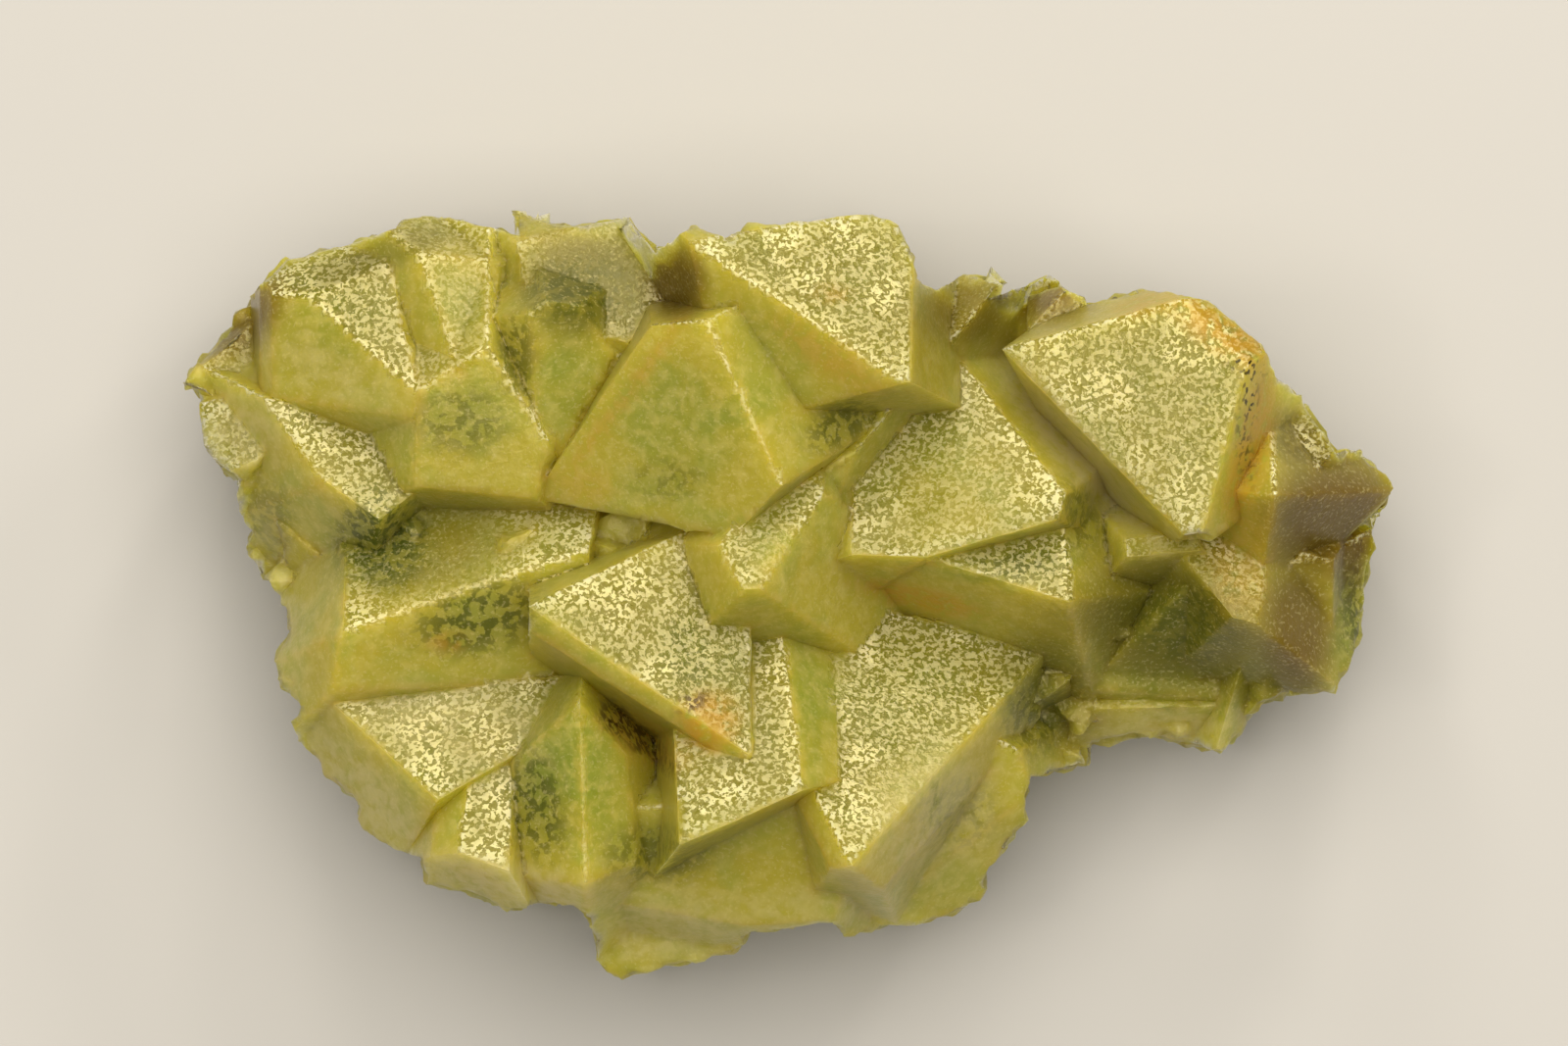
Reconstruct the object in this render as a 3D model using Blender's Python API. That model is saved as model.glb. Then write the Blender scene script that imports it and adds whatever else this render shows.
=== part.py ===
"""Fluorite specimen: one cluster of grown-together octahedral crystals on a broken crust.

It lies on its broken back with the crystals up. Metres, +Z up, origin in the
middle of the resting plane. +X runs along the cluster, +Y to its upper edge.

Plan positions are u, v on a plan drawing of 12 units to the millimetre, u to the
right and v down. Heights are millimetres above the resting plane, angles degrees.
"""

import itertools
import math
import random

import bmesh
import bpy
import numpy as np
from mathutils import Matrix, Vector

# Size of the drawing and of the whole specimen
UNITS_PER_MM = 12.0
DRAWING_MIDDLE = (804.0, 608.5)
METRES_PER_MM = 0.001

# Crust: levels of its side wall as height, rise and fall of that height along the
# wall, scale along X and along Y, and roughness inwards, all lengths in mm
CRUST_LEVELS = (
    (0.0, 0.0, 0.90, 0.86, 2.6),
    (4.5, 1.4, 0.96, 0.94, 1.8),
    (10.0, 3.0, 1.00, 1.00, 0.0),
    (13.6, 1.2, 0.97, 0.955, 0.6),
    (16.0, 0.0, 0.91, 0.88, 0.6),
)
# Levels of the wall that bounds the crystals above the crust, given the same way
SILHOUETTE_LEVELS = (
    (-5.0, 0.0, 1.00, 1.00, 0.0),
    (10.0, 2.0, 1.00, 1.00, 0.0),
    (15.0, 2.0, 1.00, 1.00, 0.5),
    (19.5, 1.5, 1.00, 1.00, 0.0),
    (25.0, 2.0, 1.00, 1.00, 0.4),
    (31.0, 1.0, 1.00, 1.00, 0.0),
    (60.0, 0.0, 1.00, 1.00, 0.0),
)

# Every crystal is rooted in the crust, each at a depth of its own: the next root lies
# this share of the range further on, and starts again past its end
SHALLOWEST_ROOT = 13.5
DEEPEST_ROOT = 9.5
ROOT_STEP = 0.618034
RAW_SIDE = 110.0

# Seeds of the rough walls and of the small crystals' turns
CRUST_SEED = 41
SILHOUETTE_SEED = 23
SMALL_CRYSTAL_SEED = 7

# Outline of the crust, clockwise from the left tip
OUTLINE = (
    (183, 392), (190, 375), (215, 350), (240, 318), (262, 290), (290, 262), (345, 248),
    (400, 232), (405, 222), (440, 218), (470, 222), (522, 214), (530, 240), (575, 228),
    (640, 220), (668, 258), (682, 250), (708, 232), (740, 243), (762, 230), (795, 229),
    (890, 218), (918, 230), (931, 255), (935, 285), (960, 295), (985, 277), (1013, 303),
    (1030, 286), (1072, 280), (1112, 308), (1170, 293), (1233, 307), (1288, 352),
    (1303, 382), (1330, 402), (1368, 458), (1390, 457), (1425, 498), (1407, 540),
    (1401, 590), (1393, 650), (1364, 707), (1326, 711), (1290, 720), (1272, 748),
    (1250, 768), (1215, 763), (1180, 754), (1120, 764), (1113, 782), (1052, 797),
    (1050, 838), (1030, 868), (1012, 885), (1004, 923), (950, 944), (900, 949),
    (862, 956), (850, 941), (800, 949), (768, 952), (757, 961), (745, 977), (680, 991),
    (632, 1003), (613, 990), (597, 932), (570, 922), (545, 926), (515, 931), (480, 915),
    (434, 903), (427, 878), (398, 868), (368, 848), (362, 822), (330, 790), (303, 757),
    (296, 737), (304, 722), (284, 700), (279, 676), (290, 650), (288, 620), (268, 590),
    (246, 556), (252, 540), (240, 520), (240, 490), (222, 478), (205, 460), (200, 430),
    (200, 408),
)

# Whole crystals: three corners of the face that looks most at the viewer, which of
# them stands nearest, height of that face's middle, corners blunted by so many mm,
# and edges where it stops, clockwise, each as two points and the fall beyond them
CRYSTALS = {
    "right_giant": ((1022, 356), (1296, 282), (1222, 562), 2, 32.0, {1: 5.5}, (
        (1240, 545, 1120, 552, 84),
    )),
    "lower_giant": ((722, 590), (1078, 655), (869, 881), 2, 27.0, {}, (
        (1094, 668, 886, 893, 76), (860, 892, 715, 600, 76), (1000, 560, 1120, 660, 70),
    )),
    "lower_middle": ((540, 618), (765, 511), (768, 771), 2, 33.0, {}, (
        (762, 782, 530, 630, 80),
    )),
    "heart": ((701, 281), (543, 509), (830, 565), 0, 34.0, {}, (
        (662, 333, 724, 327, 76), (826, 466, 745, 551, 80),
    )),
    "left_tip": ((183, 392), (265, 318), (290, 430), 0, 18.0, {}, ()),
    "right_tip": ((1300, 505), (1430, 500), (1280, 640), 0, 24.0, {}, ()),
}

# Part-grown crystals and slabs: the main face by a point on it, its azimuth and its
# tilt, then the edges clockwise, each as two points, the fall beyond them and the
# face that the edge lies on, counted from the main face as 0
PART_CRYSTALS = {
    "top_centre": ((854, 287, 35.8, 62, 30), (
        (704, 247, 893, 213, 66, 0), (893, 213, 918, 219, 70, 0), (918, 219, 932, 240, 72, 0),
        (932, 240, 928, 394, 72, 0), (928, 394, 704, 247, 37, 0), (932, 388, 812, 420, 78, 5),
        (812, 420, 722, 330, 66, 5), (722, 330, 704, 247, 66, 5),
    )),
    "left_roof": ((380, 350, 28.3, 100, 22), (
        (318, 303, 515, 213, 48, 0), (523, 213, 524, 262, 72, 0), (524, 262, 430, 400, 60, 0),
        (425, 398, 318, 303, 24, 0), (436, 428, 277, 405, 62, 4), (277, 405, 277, 306, 60, 4),
        (264, 402, 264, 290, 82, 6), (424, 392, 440, 430, 62, 4),
    )),
    "roof_small": ((456, 330, 29.6, 62, 22), (
        (428, 259, 512, 267, 58, 0), (512, 267, 498, 353, 60, 0), (498, 353, 471, 383, 45, 0),
        (471, 383, 428, 259, 38, 0), (473, 384, 426, 398, 50, 4),
    )),
    "left_middle": ((480, 440, 29.7, -100, 14), (
        (428, 398, 498, 353, 40, 0), (498, 353, 560, 450, 55, 0), (560, 450, 547, 508, 62, 0),
        (547, 508, 438, 498, 72, 0), (424, 499, 428, 398, 50, 0),
    )),
    "small_plain": ((580, 385, 30.2, -60, 20), (
        (540, 322, 560, 307, 58, 0), (560, 307, 590, 312, 60, 0), (590, 312, 628, 366, 52, 0),
        (628, 366, 572, 463, 60, 0), (572, 463, 550, 452, 60, 0), (550, 452, 540, 322, 45, 0),
    )),
    "top_left": ((600, 280, 28.0, 75, 25), (
        (527, 247, 640, 217, 58, 0), (645, 218, 672, 262, 62, 0), (672, 262, 676, 310, 66, 0),
        (676, 310, 640, 350, 60, 0), (640, 350, 560, 330, 50, 0), (545, 330, 527, 247, 55, 0),
    )),
    "left_glitter": ((345, 470, 25.9, 76, 30), (
        (268, 405, 321, 417, 74, 0), (321, 417, 385, 438, 74, 0), (385, 438, 422, 490, 70, 0),
        (422, 490, 422, 503, 72, 0), (422, 503, 387, 530, 66, 0), (387, 530, 333, 492, 56, 0),
        (333, 492, 299, 448, 52, 0), (299, 448, 268, 405, 48, 0),
    )),
    "left_pale": ((245, 440, 20.8, 150, 22), (
        (200, 410, 268, 394, 50, 0), (268, 394, 300, 450, 50, 0), (300, 450, 262, 468, 44, 0),
        (262, 468, 240, 488, 60, 0), (240, 488, 203, 462, 62, 0), (203, 462, 198, 410, 66, 0),
    )),
    "left_shelf": ((460, 735, 26.4, 98, 30), (
        (333, 708, 600, 690, 66, 0), (604, 690, 604, 720, 70, 0), (604, 718, 522, 772, 72, 0),
        (522, 772, 447, 816, 72, 0), (447, 816, 333, 712, 54, 0),
    )),
    "left_ridge": ((450, 660, 26.8, -72, 24), (
        (348, 643, 592, 563, 36, 0), (600, 563, 600, 640, 78, 0), (600, 640, 560, 692, 75, 0),
        (590, 694, 338, 706, 62, 0), (338, 706, 348, 643, 55, 0), (350, 650, 352, 565, 62, 1),
        (352, 568, 430, 496, 55, 1),
    )),
    "middle_right": ((980, 480, 28.3, 108, 26), (
        (985, 375, 1086, 505, 62, 0), (1086, 505, 1078, 530, 70, 0), (1078, 530, 945, 568, 78, 0),
        (945, 568, 868, 566, 66, 0), (868, 566, 872, 458, 52, 0), (872, 458, 903, 393, 55, 0),
        (903, 393, 985, 375, 45, 0),
    )),
    "upright": ((750, 780, 34.6, 100, 30), (
        (796, 640, 816, 786, 48, 0), (872, 782, 695, 860, 82, 0), (694, 860, 690, 790, 80, 0),
        (700, 640, 796, 628, 70, 0), (838, 563, 851, 679, 84, 1),
    )),
    "strip_left": ((500, 820, 29.3, 75, 22), (
        (483, 765, 523, 780, 76, 0), (523, 780, 520, 888, 72, 0), (520, 888, 470, 870, 62, 0),
        (470, 870, 483, 765, 42, 0), (440, 872, 447, 812, 70, 4), (447, 812, 481, 765, 70, 4),
    )),
    "green_window": ((610, 800, 31.5, -10, 34), (
        (592, 716, 640, 770, 72, 0), (640, 770, 650, 880, 66, 0), (650, 880, 598, 900, 62, 0),
        (598, 900, 592, 716, 34, 0), (598, 902, 518, 892, 62, 4), (514, 892, 525, 775, 70, 4),
        (525, 775, 592, 716, 72, 4),
    )),
    "wedge": ((790, 545, 34.2, 84, 30), (
        (762, 515, 838, 485, 60, 0), (838, 485, 839, 503, 60, 0), (839, 503, 775, 600, 50, 0),
        (775, 600, 760, 601, 62, 0), (760, 601, 735, 557, 52, 0), (735, 557, 762, 515, 60, 0),
    )),
    "wedge_foot": ((790, 600, 26.5, -60, 30), (
        (720, 560, 870, 462, 50, 0), (872, 462, 850, 528, 60, 0), (850, 528, 804, 612, 66, 0),
        (804, 612, 752, 610, 70, 0), (752, 610, 712, 580, 62, 0),
    )),
    "middle_low": ((1030, 575, 29.3, 80, 28), (
        (945, 569, 1084, 528, 74, 0), (1084, 528, 1094, 612, 52, 0), (1094, 612, 1084, 620, 60, 0),
        (1084, 620, 971, 577, 46, 0), (971, 577, 945, 569, 60, 0),
    )),
    "middle_band": ((930, 585, 23.0, -100, 30), (
        (850, 598, 884, 564, 60, 0), (884, 564, 960, 564, 40, 0), (1000, 588, 1084, 640, 60, 0),
        (1082, 642, 983, 615, 74, 0), (983, 615, 880, 594, 74, 0), (880, 594, 850, 598, 70, 0),
    )),
    "block": ((680, 940, 20.5, -90, 16), (
        (600, 925, 760, 922, 40, 0), (760, 922, 745, 973, 68, 0), (745, 973, 632, 999, 72, 0),
        (632, 999, 607, 982, 70, 0), (607, 982, 598, 925, 70, 0),
    )),
    "jumble": ((660, 890, 26.0, -100, 26), (
        (600, 826, 825, 812, 60, 0), (825, 812, 866, 886, 66, 0), (866, 886, 852, 938, 60, 0),
        (852, 938, 760, 944, 68, 0),
        (760, 944, 606, 918, 62, 0), (604, 918, 600, 826, 60, 0), (640, 930, 600, 860, 44, 0),
    )),
    "matte": ((950, 830, 22.6, -48, 26), (
        (1000, 745, 1040, 765, 62, 0), (1040, 765, 1051, 800, 62, 0), (1051, 800, 1030, 870, 66, 0),
        (1030, 870, 1003, 922, 62, 0), (1003, 922, 905, 946, 62, 0), (905, 946, 862, 900, 60, 0),
        (866, 892, 1000, 745, 60, 0), (1040, 820, 930, 905, 46, 0),
    )),
    "tip_glitter": ((1262, 575, 26.2, 75, 26), (
        (1215, 562, 1262, 515, 60, 0), (1262, 515, 1303, 494, 60, 0), (1303, 494, 1283, 636, 50, 0),
        (1283, 636, 1258, 630, 62, 0), (1258, 630, 1212, 572, 58, 0),
    )),
    "giant_ledge": ((1182, 558, 27.0, 80, 26), (
        (1148, 550, 1218, 544, 66, 0), (1218, 544, 1226, 560, 66, 0), (1226, 562, 1150, 568, 66, 0),
        (1150, 568, 1148, 550, 66, 0),
    )),
    "right_dim": ((1240, 620, 19.5, -60, 14), (
        (1105, 575, 1230, 556, 40, 0), (1300, 560, 1372, 596, 50, 0), (1372, 596, 1362, 700, 66, 0),
        (1362, 700, 1290, 716, 70, 0), (1290, 716, 1115, 704, 62, 0), (1110, 704, 1100, 575, 60, 0),
    )),
    "right_shelf": ((1205, 650, 21.5, -85, 40), (
        (1118, 694, 1215, 594, 52, 0), (1215, 594, 1292, 694, 46, 0), (1292, 694, 1118, 694, 78, 0),
    )),
    "right_face": ((1325, 640, 21.0, -60, 24), (
        (1290, 600, 1330, 565, 50, 0), (1330, 565, 1362, 572, 55, 0), (1362, 572, 1360, 700, 74, 0),
        (1360, 700, 1292, 712, 66, 0), (1292, 712, 1290, 600, 50, 0),
    )),
    "right_slab": ((1210, 708, 17.0, 85, 28), (
        (1100, 696, 1300, 690, 40, 0), (1300, 690, 1286, 721, 60, 0), (1286, 721, 1110, 724, 50, 0),
        (1110, 724, 1100, 696, 60, 0),
    )),
    "right_thin": ((1180, 745, 14.0, -80, 18), (
        (1065, 785, 1130, 736, 50, 0), (1130, 736, 1292, 714, 50, 0), (1292, 714, 1262, 768, 70, 0),
        (1255, 770, 1180, 755, 74, 0), (1180, 755, 1062, 792, 74, 0),
    )),
    "right_green": ((1388, 610, 17.0, -20, 48), (
        (1368, 560, 1405, 538, 66, 0), (1405, 538, 1393, 650, 76, 0), (1393, 650, 1364, 707, 70, 0),
        (1364, 707, 1368, 560, 62, 0),
    )),
    "right_back": ((1330, 440, 25.0, 55, 30), (
        (1297, 378, 1330, 400, 66, 0), (1330, 400, 1370, 457, 68, 0), (1370, 457, 1320, 502, 60, 0),
        (1320, 502, 1296, 378, 60, 0),
    )),
    "peak_first": ((985, 320, 19.0, -90, 22), (
        (930, 340, 985, 275, 66, 0), (985, 275, 1036, 345, 66, 0), (1036, 354, 930, 352, 50, 0),
    )),
    "peak_second": ((1060, 300, 20.0, -90, 20), (
        (1012, 325, 1030, 285, 70, 0), (1030, 285, 1072, 279, 68, 0), (1072, 279, 1112, 310, 66, 0),
        (1112, 332, 1012, 346, 50, 0),
    )),
    "peak_third": ((690, 285, 24.0, -100, 18), (
        (660, 268, 707, 231, 62, 0), (707, 231, 745, 245, 62, 0), (745, 245, 722, 330, 62, 0),
        (722, 330, 655, 335, 50, 0), (655, 335, 660, 268, 60, 0),
    )),
}

# Small crystals of the crust: plan position, height of the middle and length of edge
SMALL_CRYSTALS = (
    (283, 500, 14.5, 8.0), (330, 545, 15.5, 8.5), (275, 560, 12.0, 5.5), (268, 525, 11.5, 5.0),
    (300, 592, 13.5, 7.0), (355, 590, 17.0, 7.5), (318, 640, 13.5, 6.5), (322, 690, 13.0, 6.0),
    (310, 735, 12.0, 3.8), (350, 765, 13.5, 7.0), (392, 812, 14.0, 7.5), (405, 850, 12.5, 5.0),
    (450, 872, 14.5, 6.5), (505, 895, 15.5, 7.0), (560, 895, 16.0, 7.0), (228, 440, 14.0, 5.5),
    (240, 468, 12.5, 4.2), (290, 296, 15.5, 6.5), (330, 272, 17.0, 6.0), (250, 330, 14.0, 4.5),
    (420, 238, 19.0, 3.6), (455, 236, 19.0, 3.8), (560, 262, 18.0, 5.5), (775, 250, 18.0, 5.6),
    (745, 268, 19.0, 5.0), (852, 440, 25.0, 6.5), (880, 425, 24.5, 5.2), (838, 412, 25.5, 4.6),
    (868, 505, 22.0, 5.6), (905, 470, 23.0, 6.0), (450, 560, 20.5, 8.5), (500, 555, 21.5, 7.5),
    (545, 560, 22.5, 8.0), (620, 575, 22.5, 9.0), (680, 585, 22.5, 7.5), (640, 545, 23.0, 7.0),
    (400, 545, 19.0, 7.5), (1140, 590, 19.0, 6.5), (1120, 640, 19.0, 7.0), (1095, 570, 22.0, 5.0),
    (1100, 705, 15.0, 6.5), (1060, 690, 17.5, 6.0), (1240, 738, 12.5, 4.4), (1085, 765, 12.5, 4.6),
    (1025, 845, 15.5, 5.5), (990, 905, 14.0, 5.5), (900, 930, 14.0, 5.0), (840, 925, 15.0, 5.0),
    (790, 932, 14.0, 5.0), (725, 960, 14.0, 4.6), (650, 975, 14.0, 4.8), (625, 905, 20.0, 5.5),
    (540, 850, 19.0, 6.5), (1085, 330, 22.5, 6.5), (960, 320, 20.0, 4.6), (1330, 480, 20.0, 5.5),
    (700, 275, 21.5, 5.5), (690, 640, 22.0, 6.0), (950, 310, 19.0, 4.5),
)

# Waves of the side wall's levels: turn for each step of the outline and for each level,
# of the broad wave and of the finer one, and the finer one's share
BROAD_WAVE = (0.47, 1.0)
FINE_WAVE = (1.13, 2.0)
FINE_SHARE = 0.6

# Shortest edge that the joined mesh keeps
SLIVER = 0.01

# Surface of the fluorite
STONE_COLOUR = (0.40, 0.36, 0.06, 1.0)
STONE_ROUGHNESS = 0.38
FLUORITE_IOR = 1.434
STONE_CLEARNESS = 0.4

# Breaks on the underside: a point on each, its azimuth and its tilt from straight down
UNDERSIDE_BREAKS = (
    (330, 420, 0.0, 168, 14), (1265, 420, 0.0, 8, 12), (620, 830, 0.0, -100, 13),
    (1010, 350, 0.0, 80, 16), (1120, 690, 0.0, -62, 15), (470, 330, 0.0, 112, 14),
    (235, 540, 3.0, -158, 40), (560, 950, 4.0, -96, 37), (1340, 670, 3.5, -40, 41),
    (980, 262, 3.0, 88, 38), (320, 262, 3.5, 121, 43), (1385, 430, 3.0, 22, 39),
    (960, 960, 3.0, -70, 44), (360, 870, 3.0, -128, 42), (690, 232, 4.0, 95, 45),
)


def plan(u, v, height=0.0):
    """A point of the plan drawing in millimetres."""
    across = (u - DRAWING_MIDDLE[0]) / UNITS_PER_MM
    along = (DRAWING_MIDDLE[1] - v) / UNITS_PER_MM
    return Vector((across, along, height))


def leaning_plane(u, v, height, azimuth, tilt):
    """A plane through a point, its outer side turned to an azimuth and tilted from up."""
    turn = math.radians(azimuth)
    lean = math.radians(tilt)
    normal = Vector((math.sin(lean) * math.cos(turn), math.sin(lean) * math.sin(turn), math.cos(lean)))
    return plan(u, v, height), normal


def height_on(plane, u, v):
    """The height of a plane above a plan position."""
    point, normal = plane
    place = plan(u, v)
    away = (place.x - point.x) * normal.x + (place.y - point.y) * normal.y
    return point.z - away / normal.z


def edge_plane(face, start_u, start_v, end_u, end_v, fall):
    """A plane hinged on an edge of a face, falling away to the left of the edge."""
    first = plan(start_u, start_v, height_on(face, start_u, start_v))
    way = plan(end_u, end_v, height_on(face, end_u, end_v)) - first
    outward = Vector((-way.y, way.x, 0.0)).normalized()
    slope = math.radians(fall)
    down = outward * math.cos(slope) - Vector((0.0, 0.0, math.sin(slope)))
    normal = way.cross(down).normalized()
    if normal.dot(outward) < 0.0:
        normal.negate()
    return first, normal


def part_crystal_planes(main_face, edges):
    """The main face and the faces hinged on its edges, or on one another's."""
    planes = [leaning_plane(*main_face)]
    for start_u, start_v, end_u, end_v, fall, hinge in edges:
        planes.append(edge_plane(planes[hinge], start_u, start_v, end_u, end_v, fall))
    return planes


def octahedron_planes(corner_a, corner_b, corner_c, nearest, height, blunted):
    """The planes of the octahedron that has a face with these three corners in plan."""
    flat = [np.array(plan(*corner))[:2] for corner in (corner_a, corner_b, corner_c)]
    seen = np.stack([flat[1] - flat[0], flat[2] - flat[0]], axis=1)
    even = np.array([[1.0, 0.5], [0.0, math.sqrt(3.0) / 2.0]])
    squash = seen @ np.linalg.inv(even)
    _, stretch, axes = np.linalg.svd(squash)
    edge = stretch[0]
    lean = stretch[1] / stretch[0]
    rise = math.sqrt(max(0.0, 1.0 - lean * lean))
    for side in (1.0, -1.0):
        turn = np.vstack([squash / edge, side * rise * axes[1]])
        corners = np.array([np.zeros(3), turn @ even[:, 0] * edge, turn @ even[:, 1] * edge])
        others = (corners[:, 2].sum() - corners[nearest, 2]) / 2.0
        if corners[nearest, 2] >= others - 1e-9:
            break
    corners[:, :2] += flat[0]
    corners[:, 2] += height - corners[:, 2].mean()
    normal = np.cross(corners[1] - corners[0], corners[2] - corners[0])
    normal /= np.linalg.norm(normal)
    if normal[2] < 0.0:
        normal = -normal
    middle = corners.mean(axis=0) - normal * edge / math.sqrt(6.0)
    arms = corners - middle
    planes = []
    for signs in itertools.product((1.0, -1.0), repeat=3):
        outward = sum(sign * arm for sign, arm in zip(signs, arms))
        outward /= np.linalg.norm(outward)
        planes.append((Vector(middle + outward * edge / math.sqrt(6.0)), Vector(outward)))
    for index, depth in blunted.items():
        outward = arms[index] / np.linalg.norm(arms[index])
        reach = edge / math.sqrt(2.0) - depth
        planes.append((Vector(middle + outward * reach), Vector(outward)))
    return planes


def solid_from_planes(name, planes, store):
    """A closed solid: a raw block cut along every plane."""
    middle = sum((point for point, _ in planes), Vector()) / len(planes)
    shape = bmesh.new()
    bmesh.ops.create_cube(shape, size=RAW_SIDE, matrix=Matrix.Translation(middle))
    share = (len(store.objects) * ROOT_STEP) % 1.0
    root = DEEPEST_ROOT + (SHALLOWEST_ROOT - DEEPEST_ROOT) * share
    floor = (Vector((0.0, 0.0, root)), Vector((0.0, 0.0, -1.0)))
    for point, normal in list(planes) + [floor]:
        everything = shape.verts[:] + shape.edges[:] + shape.faces[:]
        cut = bmesh.ops.bisect_plane(
            shape, geom=everything, dist=1e-5, plane_co=point, plane_no=normal, clear_outer=True,
        )
        rim = [part for part in cut["geom_cut"] if isinstance(part, bmesh.types.BMEdge)]
        if rim:
            bmesh.ops.contextual_create(shape, geom=rim)
    bmesh.ops.remove_doubles(shape, verts=shape.verts[:], dist=0.02)
    bmesh.ops.dissolve_degenerate(shape, edges=shape.edges[:], dist=0.02)
    bmesh.ops.recalc_face_normals(shape, faces=shape.faces[:])
    return keep_solid(name, shape, store)


def keep_solid(name, shape, store):
    """Puts a finished shape into its collection, unseen and drawn as wire."""
    mesh = bpy.data.meshes.new(name)
    shape.to_mesh(mesh)
    shape.free()
    solid = bpy.data.objects.new(name, mesh)
    store.objects.link(solid)
    solid.hide_render = True
    solid.display_type = "WIRE"
    return solid


def crust_solid(store):
    """The crust: side wall and underside."""
    return walled_solid("crust", CRUST_LEVELS, CRUST_SEED, UNDERSIDE_BREAKS, store)


def walled_solid(name, levels, seed, breaks, store):
    """The outline drawn up through the levels of its side wall."""
    chance = random.Random(seed)
    shape = bmesh.new()
    home = [plan(u, v) for u, v in OUTLINE]
    ring = [shape.verts.new(place) for place in home]
    top = bmesh.ops.contextual_create(shape, geom=ring)["faces"]
    for number, (height, swing, scale_x, scale_y, roughness) in enumerate(levels):
        if number:
            raised = bmesh.ops.extrude_face_region(shape, geom=top)["geom"]
            if number > 1:
                bmesh.ops.delete(shape, geom=top, context="FACES_ONLY")
            top = [part for part in raised if isinstance(part, bmesh.types.BMFace)]
            fresh = {part for part in raised if isinstance(part, bmesh.types.BMVert)}
            ring = [above(vertex, fresh) for vertex in ring]
        for step, (vertex, place) in enumerate(zip(ring, home)):
            broad = math.sin(BROAD_WAVE[0] * step + BROAD_WAVE[1] * number)
            fine = math.sin(FINE_WAVE[0] * step + FINE_WAVE[1] * number)
            wave = (broad + FINE_SHARE * fine) / (1.0 + FINE_SHARE)
            across = place.x * scale_x - math.copysign(chance.uniform(0.0, roughness), place.x)
            along = place.y * scale_y - math.copysign(chance.uniform(0.0, roughness), place.y)
            vertex.co = Vector((across, along, height + swing * wave))
    bmesh.ops.triangulate(shape, faces=[face for face in shape.faces if len(face.verts) == 4])
    for u, v, height, azimuth, tilt in breaks:
        point, upward = leaning_plane(u, v, height, azimuth, tilt)
        normal = Vector((upward.x, upward.y, -upward.z))
        everything = shape.verts[:] + shape.edges[:] + shape.faces[:]
        cut = bmesh.ops.bisect_plane(
            shape, geom=everything, dist=1e-4, plane_co=point, plane_no=normal, clear_outer=True,
        )
        rim = [part for part in cut["geom_cut"] if isinstance(part, bmesh.types.BMEdge)]
        bmesh.ops.holes_fill(shape, edges=rim)
    bmesh.ops.triangulate(shape, faces=shape.faces[:])
    bmesh.ops.recalc_face_normals(shape, faces=shape.faces[:])
    return keep_solid(name, shape, store)


def silhouette_solid(store):
    """The rough wall around the outline, beyond which nothing has grown."""
    return walled_solid("silhouette", SILHOUETTE_LEVELS, SILHOUETTE_SEED, (), store)


def above(vertex, fresh):
    """The raised vertex that stands on this one."""
    for edge in vertex.link_edges:
        other = edge.other_vert(vertex)
        if other in fresh:
            return other
    return vertex


def small_crystal(name, u, v, height, edge, chance, store):
    """A small octahedron of the crust, turned its own way."""
    turn = Matrix.Rotation(chance.uniform(0.0, math.tau), 3, "Z")
    lean = Matrix.Rotation(math.radians(chance.uniform(15.0, 75.0)), 3, "X")
    roll = Matrix.Rotation(chance.uniform(0.0, math.tau), 3, "Z")
    frame = turn @ lean @ roll
    middle = plan(u, v, height)
    planes = []
    for signs in itertools.product((1.0, -1.0), repeat=3):
        outward = (frame @ Vector(signs)).normalized()
        reach = edge / math.sqrt(6.0) * chance.uniform(0.85, 1.15)
        planes.append((middle + outward * reach, outward))
    return solid_from_planes(name, planes, store)


def fluorite_material():
    """Frosted yellow-green fluorite."""
    material = bpy.data.materials.new("fluorite_crystal")
    material.use_nodes = True
    shader = material.node_tree.nodes["Principled BSDF"]
    shader.inputs["Base Color"].default_value = STONE_COLOUR
    shader.inputs["Roughness"].default_value = STONE_ROUGHNESS
    shader.inputs["IOR"].default_value = FLUORITE_IOR
    shader.inputs["Transmission Weight"].default_value = STONE_CLEARNESS
    return material


def grown_together(crust, crystals, silhouette):
    """Joins crust and crystals into one body, still in millimetres."""
    body = bpy.data.objects.new("fluorite_cluster", crust.data.copy())
    bpy.context.scene.collection.objects.link(body)
    for crystal in crystals:
        join = body.modifiers.new("grow_" + crystal.name, "BOOLEAN")
        join.operation = "UNION"
        join.solver = "EXACT"
        join.object = crystal
    trim = body.modifiers.new("trim_to_silhouette", "BOOLEAN")
    trim.operation = "INTERSECT"
    trim.solver = "EXACT"
    trim.object = silhouette
    bpy.context.view_layer.update()
    settled = body.evaluated_get(bpy.context.evaluated_depsgraph_get())
    mesh = bpy.data.meshes.new_from_object(settled)
    body.modifiers.clear()
    body.data = mesh
    return body


def outer_skin(shape):
    """Fills sealed hollows: keeps the skin that holds the most and drops the others."""
    left = set(shape.verts)
    skins = []
    while left:
        skin = {left.pop()}
        edge_of_search = list(skin)
        while edge_of_search:
            vertex = edge_of_search.pop()
            for edge in vertex.link_edges:
                other = edge.other_vert(vertex)
                if other in left:
                    left.remove(other)
                    skin.add(other)
                    edge_of_search.append(other)
        skins.append(skin)
    outer = max(skins, key=len)
    hollow = [vertex for skin in skins if skin is not outer for vertex in skin]
    bmesh.ops.delete(shape, geom=hollow, context="VERTS")


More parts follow.
